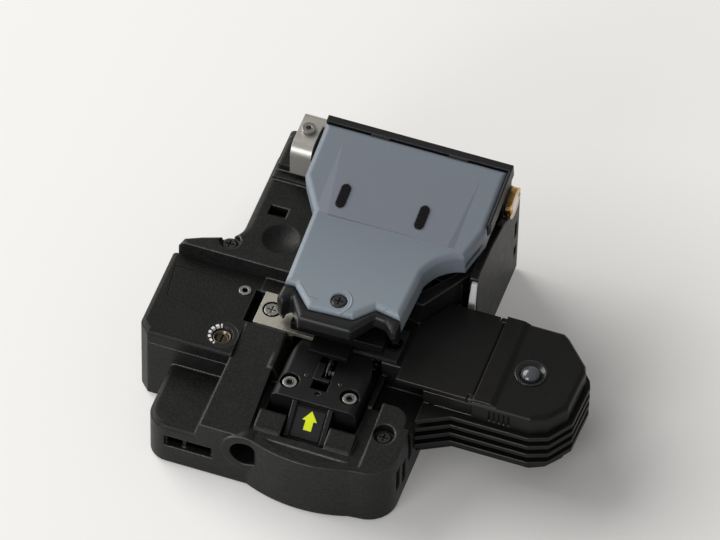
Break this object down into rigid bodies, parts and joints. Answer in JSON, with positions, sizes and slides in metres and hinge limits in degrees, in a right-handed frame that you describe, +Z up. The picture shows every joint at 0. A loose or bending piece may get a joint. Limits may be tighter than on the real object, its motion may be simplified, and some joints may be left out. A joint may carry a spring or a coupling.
{
  "type": "optical fibre cleaver",
  "caption": "Benchtop optical fibre cleaver: a sprung blade carriage slides under a hinged clamp lever beside a holder deck, with a lidded off-cut collector and feed roller.",
  "frame": {"origin": "on the bench, straight below the cleave point: where the blade plane crosses the fibre line", "axes": "+Z up; +X along the fibre towards the off-cut collector; +Y from the front tab towards the lever hinge; X = 0 is the blade plane and Y = 0 the fibre line"},
  "size_m": [0.1189, 0.0993, 0.0502],
  "materials": {
    "housing_black": "fine matt texture",
    "cover_black": "matt",
    "foot_rubber": "matt",
    "screw_black": "satin black oxide",
    "bright_steel": "satin",
    "polished_steel": "polished",
    "warm_plate": "fine ground",
    "pad_rubber": "matt",
    "brass_nut": "turned",
    "dial_black": "matt with white scale",
    "bronze_spindle": "turned",
    "spring_wire": "bright drawn",
    "lever_grey": "satin painted",
    "grip_charcoal": "semi-gloss",
    "frame_black": "satin black",
    "carriage_black": "satin black anodised",
    "label_yellow": "black tab with a yellow arrow",
    "blade_carbide": "ground carbide",
    "box_black": "matt",
    "lid_black": "semi-gloss",
    "button_gloss": "high gloss"
  },
  "bodies": {
    "base": {"base_housing": "housing_black", "holder_deck": "housing_black", "bottom_cover": "cover_black", "rubber_feet": "foot_rubber", "cover_screws": "screw_black", "housing_screws": "screw_black", "locating_bush": "bright_steel", "dial_ring": "dial_black", "left_clamp_plate": "warm_plate", "right_clamp_plate": "warm_plate", "clamp_plate_screws": "bright_steel", "lower_clamp_pads": "pad_rubber", "guide_rods": "polished_steel", "return_spring": "spring_wire", "hinge_shaft": "polished_steel", "hinge_saddle": "bright_steel", "saddle_screw": "polished_steel", "hinge_nut": "brass_nut", "lever_spring": "spring_wire", "collector_box": "box_black", "collector_screws": "bright_steel", "collector_cap": "lid_black", "button_ring": "polished_steel", "lid_pin": "polished_steel", "collector_bracket": "bright_steel"},
    "lever": {"lever_frame": "frame_black", "lever_cover": "lever_grey", "lever_grip": "grip_charcoal", "lever_screw": "screw_black", "slot_inserts": "screw_black", "hinge_bushes": "bright_steel", "release_nose": "frame_black", "anvil": "bright_steel", "anvil_pad": "pad_rubber"},
    "left_clamp": {"left_clamp_carrier": "bright_steel", "left_upper_pad": "pad_rubber"},
    "right_clamp": {"right_clamp_carrier": "bright_steel", "right_upper_pad": "pad_rubber"},
    "carriage": {"blade_carriage": "carriage_black", "carriage_screws": "bright_steel", "link_pins": "bright_steel", "height_screw": "bright_steel", "push_tab": "carriage_black", "arrow_label": "label_yellow", "blade_arm": "frame_black", "blade_axle": "polished_steel"},
    "blade": {"blade_wheel": "blade_carbide"},
    "adjuster": {"adjust_screw": "bronze_spindle"},
    "lid": {"collector_lid": "lid_black", "lid_pad": "pad_rubber"},
    "button": {"collector_button": "button_gloss"},
    "roller": {"feed_roller": "foot_rubber"}
  },
  "joints": [
    {"name": "lever_hinge", "type": "hinge", "parent": "base", "child": "lever", "pos_m": [0, 0.052, 0.038], "axis": [-1, 0, 0], "range_deg": [0, 65]},
    {"name": "left_clamp_slide", "type": "slide", "parent": "lever", "child": "left_clamp", "axis": [0, 0, 1], "range_m": [0, 0.0012], "stiffness_N_per_m": 400, "springref_m": -0.001},
    {"name": "right_clamp_slide", "type": "slide", "parent": "lever", "child": "right_clamp", "axis": [0, 0, 1], "range_m": [0, 0.0012], "stiffness_N_per_m": 400, "springref_m": -0.001},
    {"name": "carriage_slide", "type": "slide", "parent": "base", "child": "carriage", "axis": [0, 1, 0], "range_m": [0, 0.012], "stiffness_N_per_m": 100, "springref_m": -0.004, "deforming": ["return_spring"]},
    {"name": "blade_turn", "type": "hinge", "parent": "carriage", "child": "blade", "pos_m": [0, -0.0075, 0.0214], "axis": [1, 0, 0], "continuous": true},
    {"name": "adjuster_turn", "type": "hinge", "parent": "base", "child": "adjuster", "pos_m": [-0.0303, -0.009, 0.026], "axis": [0, 0, 1], "range_deg": [-150, 150]},
    {"name": "lid_hinge", "type": "hinge", "parent": "base", "child": "lid", "pos_m": [0.0389, 0, 0.0272], "axis": [0, 1, 0], "range_deg": [0, 40]},
    {"name": "roller_turn", "type": "hinge", "parent": "base", "child": "roller", "pos_m": [0.0312, 0, 0.0224], "axis": [0, 1, 0], "range_deg": [0, 135]},
    {"name": "button_press", "type": "slide", "parent": "base", "child": "button", "axis": [0, 0, -1], "range_m": [0, 0.0015], "stiffness_N_per_m": 150, "springref_m": -0.001}
  ],
  "couplings": [
    {"joint": "lid_hinge", "follows": "lever_hinge", "ratio": 0.6},
    {"joint": "roller_turn", "follows": "lever_hinge", "ratio": 2}
  ]
}
